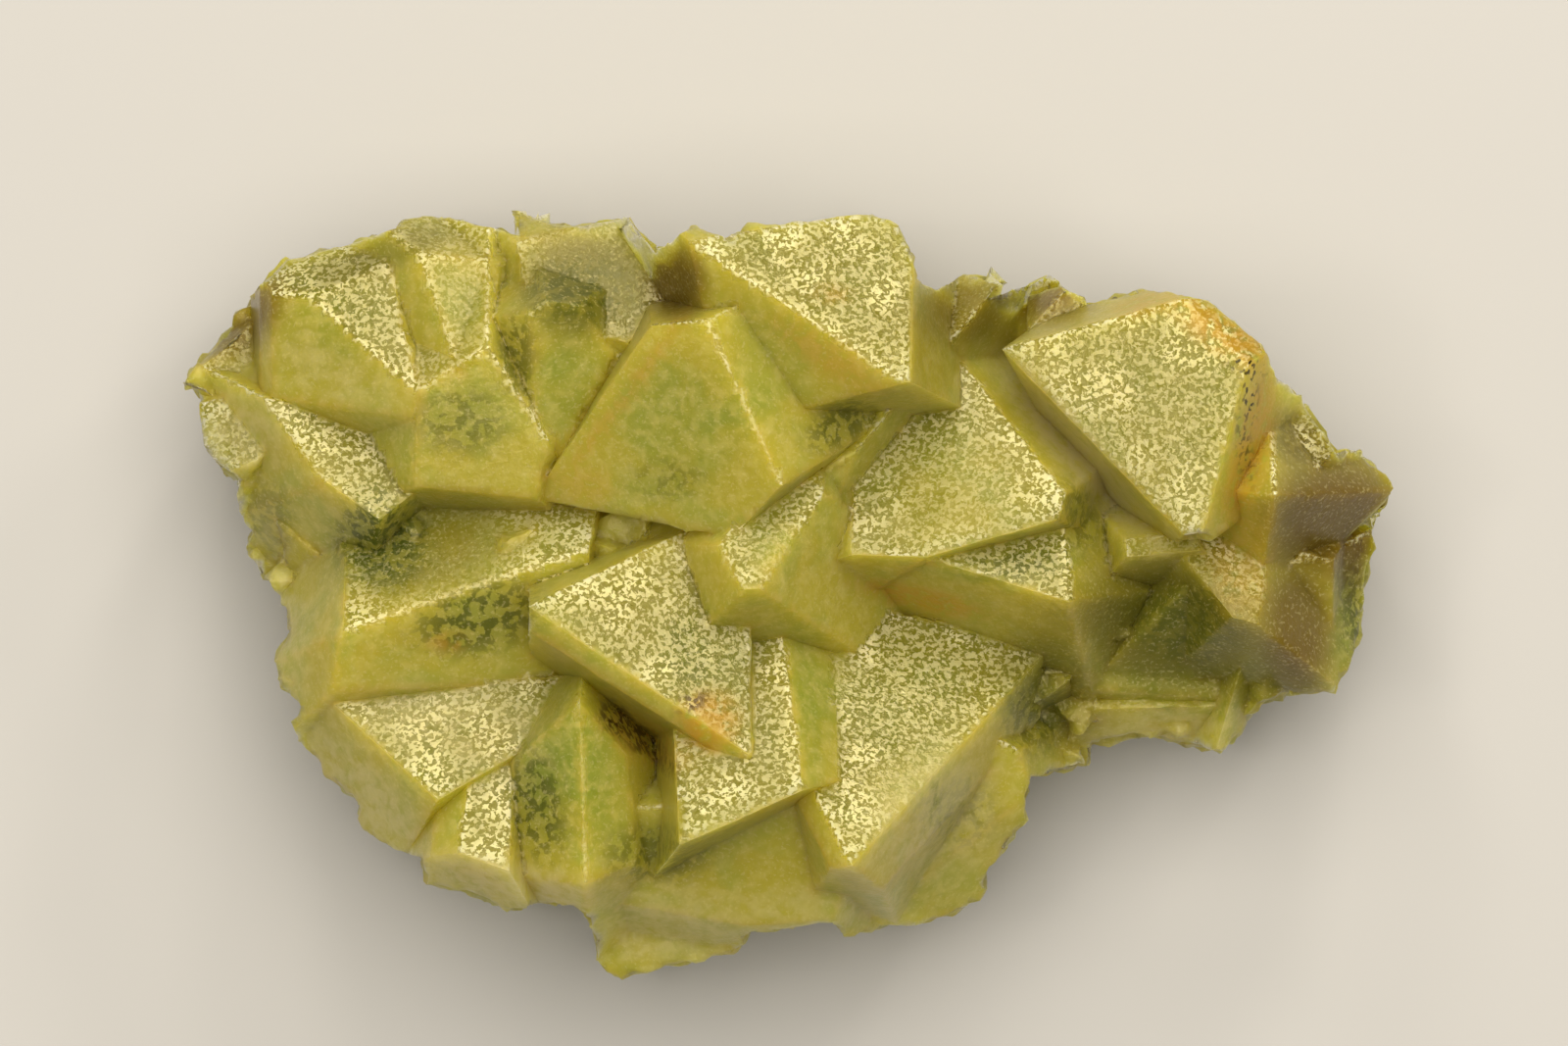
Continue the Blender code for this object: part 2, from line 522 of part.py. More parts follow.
def finish(body):
    """Cleans the joined mesh, rests it on the ground plane and turns it to metres."""
    shape = bmesh.new()
    shape.from_mesh(body.data)
    bmesh.ops.remove_doubles(shape, verts=shape.verts[:], dist=SLIVER)
    bmesh.ops.dissolve_degenerate(shape, edges=shape.edges[:], dist=SLIVER)
    outer_skin(shape)
    bmesh.ops.triangulate(shape, faces=shape.faces[:])
    low = Vector([min(vertex.co[axis] for vertex in shape.verts) for axis in range(3)])
    high = Vector([max(vertex.co[axis] for vertex in shape.verts) for axis in range(3)])
    rest = Vector(((low.x + high.x) / 2.0, (low.y + high.y) / 2.0, low.z))
    bmesh.ops.translate(shape, verts=shape.verts[:], vec=-rest)
    bmesh.ops.scale(shape, verts=shape.verts[:], vec=(METRES_PER_MM,) * 3)
    shape.to_mesh(body.data)
    shape.free()
    for polygon in body.data.polygons:
        polygon.use_smooth = False
    body.data.materials.clear()
    body.data.materials.append(fluorite_material())


def main():
    for leftover in list(bpy.data.objects):
        bpy.data.objects.remove(leftover, do_unlink=True)
    store = bpy.data.collections.new("growing_parts")
    bpy.context.scene.collection.children.link(store)
    crust = crust_solid(store)
    crystals = []
    for name, (a, b, c, nearest, height, blunted, broken) in CRYSTALS.items():
        planes = octahedron_planes(a, b, c, nearest, height, blunted)
        planes += [edge_plane(planes[0], *edge) for edge in broken]
        crystals.append(solid_from_planes(name, planes, store))
    for name, (main_face, edges) in PART_CRYSTALS.items():
        planes = part_crystal_planes(main_face, edges)
        crystals.append(solid_from_planes(name, planes, store))
    chance = random.Random(SMALL_CRYSTAL_SEED)
    for number, (u, v, height, edge) in enumerate(SMALL_CRYSTALS):
        name = "small_crystal_" + str(number)
        crystals.append(small_crystal(name, u, v, height, edge, chance, store))
    silhouette = silhouette_solid(store)
    body = grown_together(crust, crystals, silhouette)
    for grown in [crust, silhouette] + crystals:
        bpy.data.objects.remove(grown, do_unlink=True)
    finish(body)


main()
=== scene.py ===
"""Fluorite specimen: the looks of one cluster of frosted yellow-green octahedra.

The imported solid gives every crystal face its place. Its copy here is cut into a fine
even mesh, and gets growth waves, worn edges, a lumpy crust and broken walls.
Metres, +Z up. The specimen lies on its broken back with the crystals up.
"""

import math

import bmesh
import bpy
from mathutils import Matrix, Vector, noise
from mathutils.bvhtree import BVHTree
from mathutils.kdtree import KDTree


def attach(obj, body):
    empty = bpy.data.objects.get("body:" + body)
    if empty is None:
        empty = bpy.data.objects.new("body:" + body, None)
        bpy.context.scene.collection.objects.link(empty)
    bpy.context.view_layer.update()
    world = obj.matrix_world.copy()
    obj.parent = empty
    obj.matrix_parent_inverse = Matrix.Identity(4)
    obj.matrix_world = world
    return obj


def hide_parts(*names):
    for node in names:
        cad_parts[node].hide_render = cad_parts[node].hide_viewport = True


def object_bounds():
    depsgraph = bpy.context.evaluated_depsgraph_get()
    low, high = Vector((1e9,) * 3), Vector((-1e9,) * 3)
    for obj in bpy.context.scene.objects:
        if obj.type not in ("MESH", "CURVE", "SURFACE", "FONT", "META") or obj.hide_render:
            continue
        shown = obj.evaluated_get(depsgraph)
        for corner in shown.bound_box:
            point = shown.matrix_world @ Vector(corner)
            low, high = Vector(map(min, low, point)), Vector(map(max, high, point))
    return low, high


MM = 0.001

# Fine mesh: how near two corners of the solid are to be one, how far apart its copy is cut,
# how near a cut may pass by a corner, and the angles below which an edge is flat, above
# which it is shaded sharp, and between which it wears
SAME_CORNER = 0.002 * MM
CUT_SPACING = 0.75 * MM
CUT_NEARNESS = 0.03 * MM
FLAT_ANGLE = math.radians(0.6)
SHARP_ANGLE = math.radians(24.0)
WORN_ANGLES = (math.radians(14.0), math.radians(60.0))

# A face is crust below the first of these areas and heights, and crystal above the second
CRYSTAL_FACE_AREA = (4.9 * MM * MM, 14.0 * MM * MM)
CRYSTAL_FACE_HEIGHT = (11.0 * MM, 15.0 * MM)

# Relief fades out this close to the table, so that the specimen still lies flat
REST_ZONE = 1.2 * MM

# Relief, as height and width of each form. A lump bulges within this share of its width,
# and the chips are drawn away from the waves.
FACE_WAVE = (0.10 * MM, 5.0 * MM)
CRUST_LUMP = (1.12 * MM, 2.2 * MM)
LUMP_BULGE = 0.45
CRUST_GRAIN = (0.22 * MM, 0.9 * MM)
EDGE_WEAR = 0.015 * MM
EDGE_CHIP = (0.07 * MM, 1.7 * MM)
CHIP_SHIFT = Vector((7.0, 0.0, 0.0))
RIM_WIDTH = 0.9 * MM

# Walls where the cluster ends: how level a face may be to count as wall, how deep its
# broken facets lie and how far that differs, how wide they are and how far they lean. Each
# facet draws its lean and its depth from its own place in the noise. The seed keeps the
# lean the same in every run.
WALL_LEVEL = (0.10, 0.13)
FACET_DEPTH = (1.0 * MM, 1.2 * MM)
FACET_WIDTH = 6.0 * MM
FACET_LEAN = 0.60
FACET_SEED = 4
LEAN_DRAW = 5.3
DEPTH_DRAW = 3.1

# A vertex is broken in above the first of these shares of wall around it, and belongs to
# the wall's edge below the second. Facets fade in over the rim, and crystal faces lose
# this share of their finish on a wall.
BROKEN_WALL = 0.5
EDGE_OF_WALL = 0.9
WALL_RIM = 1.6 * MM
WALL_FROST = 0.7

# How far the sky over a hollow is felt for, along how many ways, and how far the ways
# start above the face. The hollows found this way are painted with a glow.
HOLLOW_REACH = 9.0 * MM
HOLLOW_WAYS = 20
HOLLOW_START = 0.05 * MM

# Photograph's view: how wide the frame is at the height of the crystals and where its
# middle lies, with a camera 2 m above and a sensor 36 mm wide
VIEW_WIDTH = 133.33 * MM
VIEW_MIDDLE = (-0.33 * MM, 6.25 * MM)
CRYSTAL_HEIGHT = 28.0 * MM
CAMERA_DISTANCE = 2.0
SENSOR = 36.0

# Spots fade out on faces that look away from above, and from the first of these shares
# of their size to the second
SEEN_FROM_ABOVE = 0.15
SPOT_FADE = (0.45, 1.6)

# Spots on the crystals in mm: x, y, half length, half width, turn in degrees, strength
IRON_SPOTS = (
    (36.8, 22.8, 5.0, 1.8, -38, 0.9), (30.9, 24.9, 3.0, 1.0, 8, 0.5), (39.3, 12.4, 6.5, 1.4, 76, 0.8),
    (11.3, -0.2, 5.0, 0.9, -13, 0.9), (-6.8, -10.5, 2.4, 2.2, 0, 0.9), (-12.0, -12.2, 3.5, 1.6, -30, 0.6),
    (-29.0, -3.9, 1.6, 0.8, 0, 0.6), (-14.3, 16.4, 9.0, 0.6, 53, 0.5), (-17.6, 9.4, 3.0, 1.6, -10, 0.35),
    (3.8, 25.7, 1.5, 0.8, 0, 0.4), (3.4, 20.3, 5.0, 1.4, -33, 0.45), (38.5, 3.4, 2.6, 4.6, 0, 0.35),
)
DENDRITE_SPOTS = (
    (-14.6, -10.4, 1.6, 1.1, -50, 1.0), (-12.4, -12.2, 2.4, 1.0, -40, 0.9), (-8.2, -9.0, 1.4, 0.7, 20, 0.9),
    (-10.4, -14.2, 1.4, 0.8, -40, 0.7),
)
SPECK_SPOTS = (
    (38.9, 19.6, 1.6, 0.8, -20, 1.0), (39.2, 17.0, 0.7, 2.2, 0, 1.0), (38.7, 12.6, 0.6, 3.0, 8, 0.7),
)
WINDOW_SPOTS = (
    (-34.5, 4.9, 3.4, 3.6, 0, 1.0), (-26.2, -1.8, 5.0, 2.6, 15, 0.8), (-21.5, -17.5, 2.2, 4.4, 10, 0.8),
    (-23.1, 20.5, 1.6, 3.2, 0, 0.6), (-27.8, 14.9, 3.5, 2.5, 0, 0.5), (-10.3, 9.9, 3.0, 1.5, 0, 0.35),
    (19.3, 2.8, 4.0, 1.4, 5, 0.6), (-11.2, -21.8, 4.0, 2.2, 0, 0.55), (14.3, -18.5, 3.2, 2.8, 0, 0.5),
    (33.8, -2.2, 4.0, 3.0, 0, 0.6), (48.8, 0.7, 1.6, 6.0, 0, 0.9), (21.1, -10.1, 2.4, 3.0, 0, 0.6),
    (-44.4, 6.5, 2.0, 3.0, 0, 0.45), (-17.8, 25.7, 4.0, 2.6, 0, 0.6), (4.5, 14.5, 3.0, 1.6, 30, 0.7),
    (43.8, 13.6, 2.4, 2.0, 0, 0.5), (-8.5, -4.8, 1.6, 3.0, 20, 0.4), (24.5, 6.8, 2.0, 3.0, 20, 0.5),
)
GREEN_SPOTS = (
    (-38.0, 23.0, 6.0, 4.5, 0, 0.8), (-29.0, 25.0, 3.0, 4.5, 0, 0.6), (-18.3, 19.5, 2.6, 5.0, 0, 0.9),
    (-8.7, 14.0, 5.0, 5.0, 0, 0.6), (-18.7, -14.3, 4.0, 6.5, 0, 1.0), (-6.8, -4.3, 2.8, 3.6, 20, 1.0),
    (2.2, -9.3, 1.8, 6.0, 0, 0.8), (12.2, 10.7, 5.0, 4.0, 0, 0.6), (9.7, -9.0, 4.5, 6.0, -20, 0.8),
    (33.0, 15.7, 5.0, 4.0, 0, 0.35), (35.5, -8.0, 8.0, 2.6, 0, 0.8), (-27.0, -18.0, 1.5, 4.0, 0, 0.5),
    (19.0, 3.4, 5.0, 2.2, 0, 0.9), (48.4, 0.0, 2.0, 7.0, 0, 1.0), (-34.0, 5.0, 4.0, 4.0, 0, 0.7),
    (-2.4, 5.0, 1.6, 3.0, -40, 0.7), (-4.4, 15.6, 1.4, 4.0, -60, 0.7),
)
AMBER_SPOTS = (
    (46.8, 6.6, 6.4, 5.4, 0, 1.0), (43.6, -2.6, 2.8, 5.4, 0, 0.9), (44.7, 12.6, 3.4, 3.4, 0, 0.6),
    (-9.5, 26.5, 2.4, 3.0, 0, 1.0), (15.1, 24.4, 3.6, 2.8, 0, 0.6), (21.8, 25.9, 4.0, 2.4, 0, 0.9),
    (-46.6, 23.6, 4.4, 2.4, 45, 0.9),
)
# Painted shade: parts that lie in shade, most of all the lower right end, are painted darker
PAINTED_SHADE_SPOTS = (
    (33.0, -2.6, 9.0, 5.5, -10, 1.0), (23.0, -8.0, 4.0, 5.0, 30, 0.8), (40.0, -6.0, 6.0, 3.6, 0, 0.8),
    (-17.2, 27.0, 5.4, 4.4, 0, 1.0), (-35.0, 29.0, 6.0, 1.6, 20, 0.6), (-31.0, 4.0, 7.0, 3.4, 12, 0.7),
    (17.0, 24.0, 8.0, 3.0, 0, 0.35),
)
# Milky pale stone, partly real and partly a painted glow and sheen: steep and low parts are painted
# brighter as though lit through the stone, and one pale streak is a painted sheen
MILK_AND_GLOW_SPOTS = (
    (-38.3, 18.8, 6.5, 2.0, -28, 0.35), (-46.8, 13.8, 3.6, 3.0, 0, 0.6), (-24.0, -24.4, 8.0, 1.8, -12, 1.0),
    (-43.5, -1.0, 1.8, 8.0, 10, 0.6), (33.0, -11.4, 7.0, 1.6, 4, 0.5), (-35.5, -17.5, 7.0, 2.2, -48, 0.9),
    (2.0, -26.6, 8.0, 1.6, 0, 0.5), (-29.4, -11.0, 8.0, 3.0, -8, 0.5),
    (24.6, 12.2, 9.0, 1.6, -50, 1.0), (12.5, -18.5, 5.5, 4.5, 45, 0.7), (-10.3, -28.0, 6.0, 3.0, 0, 0.7),
)
SPOTS = {
    "iron": IRON_SPOTS, "dendrite": DENDRITE_SPOTS, "speck": SPECK_SPOTS, "window": WINDOW_SPOTS,
    "green": GREEN_SPOTS, "amber": AMBER_SPOTS, "painted_shade": PAINTED_SHADE_SPOTS, "milk_and_glow": MILK_AND_GLOW_SPOTS,
}
MARKS = (*SPOTS, "crystal", "satin", "flecks", "covered", "rim")

# Places with no satin scales, and so no painted glints
PLAIN_SPOTS = (
    (-9.5, 12.4, 8.5, 7.0, 0, 1.0), (-27.0, 14.0, 5.0, 4.5, 0, 0.85), (-18.3, 18.6, 3.2, 5.0, 0, 0.9),
    (24.8, 12.0, 9.0, 1.6, -50, 1.0), (39.3, 12.4, 6.5, 1.5, 76, 0.6), (-0.5, 20.5, 6.5, 3.0, -33, 0.9),
    (1.3, 3.2, 4.0, 2.5, 0, 0.8), (10.5, 1.5, 8.0, 1.2, -10, 1.0), (-28.7, -4.3, 9.0, 3.0, 8, 0.8),
    (2.6, -7.6, 1.8, 6.5, 0, 0.7), (-5.3, -22.6, 8.0, 3.4, 5, 0.6), (13.0, -18.5, 5.0, 5.0, 45, 0.6),
    (-10.3, -28.5, 6.0, 3.0, 0, 0.7), (35.0, -3.0, 8.0, 5.0, 0, 0.7), (-18.7, -15.0, 3.6, 6.0, 0, 0.7),
    (-30.0, 3.4, 8.0, 4.0, 15, 0.85), (-17.8, 27.6, 5.0, 4.0, 0, 0.85), (14.4, 8.4, 6.0, 4.6, 0, 0.45),
    (-28.0, 25.4, 3.2, 4.6, 0, 0.55), (40.0, 3.0, 2.0, 4.0, 0, 0.4),
)

# Patterns in the stone: name, width, detail and twist. Milky clouds are several millimetres
# wide and satin scales 0.4 mm. Frost and grit are finer on the stone, and are drawn this
# coarse so that they show.
PATTERNS = (
    ("cloud", 6.0 * MM, 3.0, 0.4), ("mottle", 1.1 * MM, 5.0, 0.4), ("lace", 0.9 * MM, 4.0, 0.3),
    ("branches", 0.8 * MM, 4.0, 1.0), ("grains", 0.6 * MM, 1.0, 0.0), ("scales", 0.40 * MM, 2.0, 0.4),
    ("swell", 2.2 * MM, 2.0, 0.3), ("grit", 0.35 * MM, 3.0, 0.0), ("frost", 0.30 * MM, 2.0, 0.3),
)

# Height of the scales, and of the swell below them as a multiple of it
SCALE_HEIGHT = 0.13 * MM
SWELL_SHARE = 1.6

# Satin scales are put on the faces that look this way, given as azimuth and tilt: the faces
# that mirror the small softboxes up to the camera. There the scales get painted glints and
# painted shade between them. The painted glint flecks come in patches, fewer over the green
# depths and in the painted shade, and full along the crests.
SATIN_WAY = (80.0, 26.0)
SATIN_SPREAD = (0.80, 0.88)
FLECK_PATCH = 3.2 * MM
FLECK_SHARE = (-0.55, 0.45)
FEWEST_FLECKS = 0.5
GREEN_WITHOUT_FLECKS = 0.6
SHADED_WITHOUT_FLECKS = 0.8

# Colours over the body from the deepest up: mark, pattern, where in the pattern the colour
# starts and is full, its greatest share, and the colour
BODY_COLOUR = "#B2A63A"
COLOUR_LAYERS = (
    (None, "cloud", 0.40, 0.66, 0.6, "#98A044"),
    ("green", "cloud", 0.15, 0.60, 0.75, "#7C8C30"),
    (None, "mottle", 0.38, 0.74, 0.55, "#CBBF6A"),
    ("rim", "mottle", 0.15, 0.60, 0.35, "#C09A2A"),
    # Painted glow: hollows, found by how much of their sky is covered, are painted a brighter, more
    # saturated yellow-green, as though lit through the stone
    ("covered", "cloud", -0.6, 0.6, 0.8, "#B8AC28"),
    # Painted shade between the painted glints on the faces turned to the lights
    ("satin", "cloud", -0.8, 0.3, 0.7, "#66641A"),
    # Painted shade on the shaded parts
    ("painted_shade", "cloud", 0.0, 0.4, 0.85, "#5E5812"),
    ("window", "cloud", 0.0, 0.4, 0.5, "#6C7026"),
    ("window", "lace", 0.46, 0.53, 0.9, "#3E490C"),
    ("amber", "cloud", -0.2, 0.4, 0.9, "#5E4406"),
    (None, "frost", 0.57, 0.66, 0.3, "#D4C884"),
    # Painted glints: cream flecks on the raised scales of the faces that mirror the lights
    ("flecks", "scales", 0.49, 0.54, 0.95, "#F0E6A8"),
    # Milky pale stone, partly a painted glow and sheen
    ("milk_and_glow", "mottle", 0.20, 0.60, 0.7, "#C8BC80"),
    ("iron", "mottle", 0.30, 0.56, 0.75, "#BC8A1C"),
    ("dendrite", "branches", 0.46, 0.54, 1.0, "#46280E"),
    ("speck", "grains", 0.54, 0.60, 1.0, "#1A1208"),
)

# Fluorite has a low IOR and so a soft shine. It is partly see-through, its milk spreads
# light below the surface, and its scales mirror a faintly golden light.
GLINT_COLOUR = "#FFF0B8"
STONE_VALUES = {
    "IOR": 1.434, "Transmission Weight": 0.35, "Subsurface Weight": 0.9,
    "Subsurface Radius": (1.0, 0.92, 0.35), "Subsurface Scale": 11.0 * MM, "Specular IOR Level": 0.5,
}
ABSORBED_COLOUR = "#C9D27A"
ABSORPTION = 30.0

# Strength of the fine relief off and on the satin faces, and roughness of the crust, of
# frosted crystal, which begins and is full at these shares of crystal, and of satin
RELIEF_STRENGTH = (0.45, 1.0)
CRUST_ROUGHNESS = 0.38
CRYSTAL_ROUGHNESS = 0.28
FROSTED_SHARE = (0.2, 0.9)
SATIN_ROUGHNESS = 0.09

# Floor and light, with the floor's half width in metres
FLOOR_HALF_WIDTH = 3.0
FLOOR_COLOUR = "#A9A7A2"
FLOOR_ROUGHNESS = 0.9
LAMP_COLOUR = "#FFF8EE"
ROOM_COLOUR = "#F2F0EA"
ROOM_STRENGTH = 0.34

# Softboxes: name, azimuth and elevation in degrees, distance and size in metres, watts
SOFTBOXES = (
    ("upper_softbox", 73.0, 23.0, 0.60, 0.10, 0.55),
    ("high_softbox", 77.0, 36.0, 0.60, 0.10, 0.55),
    ("left_softbox", 103.0, 33.0, 0.60, 0.10, 0.55),
    ("right_softbox", 44.0, 36.0, 0.60, 0.10, 0.55),
    ("side_softbox", 182.0, 65.0, 0.60, 0.10, 0.32),
    ("overhead_softbox", 90.0, 78.0, 2.4, 2.6, 98.0),
)

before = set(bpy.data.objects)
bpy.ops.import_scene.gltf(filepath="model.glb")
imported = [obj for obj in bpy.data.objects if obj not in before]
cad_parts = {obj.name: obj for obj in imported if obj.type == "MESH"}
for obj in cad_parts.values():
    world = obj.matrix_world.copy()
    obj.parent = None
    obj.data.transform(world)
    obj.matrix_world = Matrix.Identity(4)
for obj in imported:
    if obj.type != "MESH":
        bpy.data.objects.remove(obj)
CAD_LOW, CAD_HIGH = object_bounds()


def linear(hex_colour):
    """An sRGB hex colour as linear RGBA."""
    parts = []
    for start in (1, 3, 5):
        value = int(hex_colour[start:start + 2], 16) / 255.0
        parts.append(value / 12.92 if value <= 0.04045 else ((value + 0.055) / 1.055) ** 2.4)
    return (*parts, 1.0)


def merged_copy(node):
    """The solid's mesh with its loose triangles merged and its flat faces whole again."""
    shape = bmesh.new()
    shape.from_mesh(node.data)
    bmesh.ops.remove_doubles(shape, verts=shape.verts[:], dist=SAME_CORNER)
    bmesh.ops.dissolve_limit(
        shape, angle_limit=FLAT_ANGLE, verts=shape.verts[:], edges=shape.edges[:],
    )
    return shape


def cut_fine(shape):
    """Cuts every face along an even grid, so that it can be shaped."""
    bmesh.ops.triangulate(shape, faces=shape.faces[:])
    for edge in shape.edges:
        edge.seam = edge.calc_face_angle(0.0) < FLAT_ANGLE
    for axis in range(3):
        normal = Vector([float(axis == other) for other in range(3)])
        place = CAD_LOW[axis] + CUT_SPACING / 2.0
        while place < CAD_HIGH[axis]:
            everything = shape.verts[:] + shape.edges[:] + shape.faces[:]
            bmesh.ops.bisect_plane(
                shape, geom=everything, dist=CUT_NEARNESS, plane_co=normal * place, plane_no=normal,
            )
            place += CUT_SPACING
    spare = [edge for edge in shape.edges if edge.seam and edge.calc_face_angle(0.0) < FLAT_ANGLE]
    bmesh.ops.dissolve_edges(shape, edges=spare, use_verts=True)
    bmesh.ops.triangulate(shape, faces=shape.faces[:])


def smooth_step(value, low, high):
    """0 below low, 1 above high, and a smooth rise between them."""
    share = min(1.0, max(0.0, (value - low) / (high - low)))
    return share * share * (3.0 - 2.0 * share)


def spot_strength(place, spots):
    """How strongly the spots colour a place, seen from above."""
    strongest = 0.0
    for x, y, half_length, half_width, turn, strength in spots:
        across = place.x / MM - x
        along = place.y / MM - y
        angle = math.radians(turn)
        length = (across * math.cos(angle) + along * math.sin(angle)) / half_length
        width = (along * math.cos(angle) - across * math.sin(angle)) / half_width
        distance = math.hypot(length, width)
        strongest = max(strongest, strength * (1.0 - smooth_step(distance, *SPOT_FADE)))
    return strongest


def ways_up():
    """Even directions over a half ball around +Z."""
    golden_angle = math.pi * (3.0 - math.sqrt(5.0))
    ways = []
    for number in range(HOLLOW_WAYS):
        rise = (number + 0.5) / HOLLOW_WAYS
        turn = number * golden_angle
        flat = math.sqrt(1.0 - rise * rise)
        ways.append(Vector((flat * math.cos(turn), flat * math.sin(turn), rise)))
    return ways


def openness(place, normal, tree, ways):
    """The share of a point's sky that no crystal near it covers."""
    turn = Vector((0.0, 0.0, 1.0)).rotation_difference(normal)
    start = place + normal * HOLLOW_START
    free = 0.0
    total = 0.0
    for way in ways:
        total += way.z
        _, _, _, distance = tree.ray_cast(start, turn @ way, HOLLOW_REACH)
        free += way.z if distance is None else way.z * distance / HOLLOW_REACH
    return free / total


def crust_relief(place):
    """Lumps and grain of the broken crust, as a height."""
    lump_height, lump_width = CRUST_LUMP
    grain_height, grain_width = CRUST_GRAIN
    near = noise.voronoi(place / lump_width)[0][0]
    grain = noise.noise(place / grain_width)
    return lump_height * (LUMP_BULGE - near) + grain_height * grain


def broken_wall(place):
    """How deep a wall is broken in here: facets that each lean their own way."""
    depth, spread = FACET_DEPTH
    middle = noise.voronoi(place / FACET_WIDTH)[1][0]
    lean = noise.noise_vector(middle * LEAN_DRAW) * FACET_LEAN
    step = depth + spread * noise.noise(middle * DEPTH_DRAW)
    return max(0.0, step + lean.dot(place - middle * FACET_WIDTH))


def tree_of(points):
    """A tree that finds the nearest of these points."""
    tree = KDTree(len(points))
    for number, point in enumerate(points):
        tree.insert(point, number)
    tree.balance()
    return tree


def uprightness(vertex):
    """The share of a vertex's faces that stand upright, as the walls do."""
    faces = vertex.link_faces
    return sum(1.0 - smooth_step(abs(face.normal.z), *WALL_LEVEL) for face in faces) / len(faces)


def crease(vertex):
    """The angle of the sharpest outer edge that meets at a vertex."""
    return max((edge.calc_face_angle_signed(0.0) for edge in vertex.link_edges), default=0.0)


def satin_direction():
    """The way that the satin faces look."""
    turn, tilt = (math.radians(angle) for angle in SATIN_WAY)
    return Vector((math.sin(tilt) * math.cos(turn), math.sin(tilt) * math.sin(turn), math.cos(tilt)))


def marks_at(place, normal, whole, covered, rim):
    """The strength of every mark at a place on the cluster."""
    seen = smooth_step(normal.z, 0.0, SEEN_FROM_ABOVE)
    marks = {name: spot_strength(place, spots) * seen for name, spots in SPOTS.items()}
    patch = noise.noise(place / FLECK_PATCH) - GREEN_WITHOUT_FLECKS * marks["green"]
    # Satin scales on the faces that mirror the lights; they also carry the painted glints and painted shade
    satin = smooth_step(normal.dot(satin_direction()), *SATIN_SPREAD) * whole
    satin *= 1.0 - spot_strength(place, PLAIN_SPOTS) * seen
    # Painted glints come in patches and are full along the crests
    flecks = max(FEWEST_FLECKS, smooth_step(patch, *FLECK_SHARE), rim)
    flecks *= satin * (1.0 - SHADED_WITHOUT_FLECKS * marks["painted_shade"])
    marks.update(crystal=whole, satin=satin, flecks=flecks, covered=covered, rim=rim)
    return marks


def relief_at(place, whole, convex, wall, inside_wall):
    """How far the surface stands out or is worn away at a place on the cluster."""
    wave_height, wave_width = FACE_WAVE
    height = wave_height * noise.noise(place / wave_width) * whole
    height += crust_relief(place) * (1.0 - whole)
    chip_height, chip_width = EDGE_CHIP
    chip = max(0.0, noise.noise(place / chip_width + CHIP_SHIFT))
    height -= smooth_step(convex, *WORN_ANGLES) * (EDGE_WEAR + chip_height * chip)
    if wall > BROKEN_WALL:
        height -= broken_wall(place) * smooth_step(inside_wall, 0.0, WALL_RIM)
    return height * smooth_step(place.z, 0.0, REST_ZONE)


def shape_vertices(shape, crystal):
    """Marks every vertex of the cut cluster and moves it by its relief."""
    layers = {name: shape.verts.layers.float.new(name) for name in MARKS}
    tree = BVHTree.FromBMesh(shape)
    ways = ways_up()
    creases = [crease(vertex) for vertex in shape.verts]
    walls = [uprightness(vertex) for vertex in shape.verts]
    crest = tree_of([
        vertex.co.copy() for vertex, convex in zip(shape.verts, creases) if convex > WORN_ANGLES[0]
    ])
    wall_edge = tree_of([
        vertex.co.copy() for vertex, wall in zip(shape.verts, walls) if wall < EDGE_OF_WALL
    ])
    moves = []
    for vertex, convex, wall in zip(shape.verts, creases, walls):
        place = vertex.co.copy()
        normal = vertex.normal.copy()
        faces = vertex.link_faces
        whole = sum(face[crystal] for face in faces) / len(faces) * (1.0 - WALL_FROST * wall)
        whole *= smooth_step(place.z, *CRYSTAL_FACE_HEIGHT)
        # How much of the sky is covered here, which sets the painted glow in the hollows
        covered = 1.0 - openness(place, normal, tree, ways)
        rim = 1.0 - smooth_step(crest.find(place)[2], 0.0, RIM_WIDTH)
        for name, strength in marks_at(place, normal, whole, covered, rim).items():
            vertex[layers[name]] = strength
        height = relief_at(place, whole, convex, wall, wall_edge.find(place)[2])
        moves.append(normal * height)
    for vertex, move in zip(shape.verts, moves):
        moved = vertex.co + move
        vertex.co = Vector([
            min(CAD_HIGH[axis], max(CAD_LOW[axis], moved[axis])) for axis in range(3)
        ])


def grown_skin(node):
    """The visible cluster: a finely cut copy with worn edges, waves, crust and broken walls."""
    noise.seed_set(FACET_SEED)
    shape = merged_copy(node)
    crystal = shape.faces.layers.float.new("crystal_face")
    for face in shape.faces:
        face[crystal] = smooth_step(face.calc_area(), *CRYSTAL_FACE_AREA)
    cut_fine(shape)
    shape.normal_update()
    shape_vertices(shape, crystal)
    mesh = bpy.data.meshes.new("fluorite_crystals")
    shape.to_mesh(mesh)
    shape.free()
    mesh.shade_smooth()
    mesh.set_sharp_from_angle(angle=SHARP_ANGLE)
    skin = bpy.data.objects.new("fluorite_crystals", mesh)
    bpy.context.scene.collection.objects.link(skin)
    return skin


def add(tree, kind, settings=None, inputs=None):
    """Adds a shader node with its settings, values and links, and returns it."""
    node = tree.nodes.new(kind)
    for name, value in (settings or {}).items():
        setattr(node, name, value)
    for name, value in (inputs or {}).items():
        socket = node.inputs[name]
        if isinstance(value, bpy.types.NodeSocket):
            tree.links.new(value, socket)
        else:
            socket.default_value = value
    return node


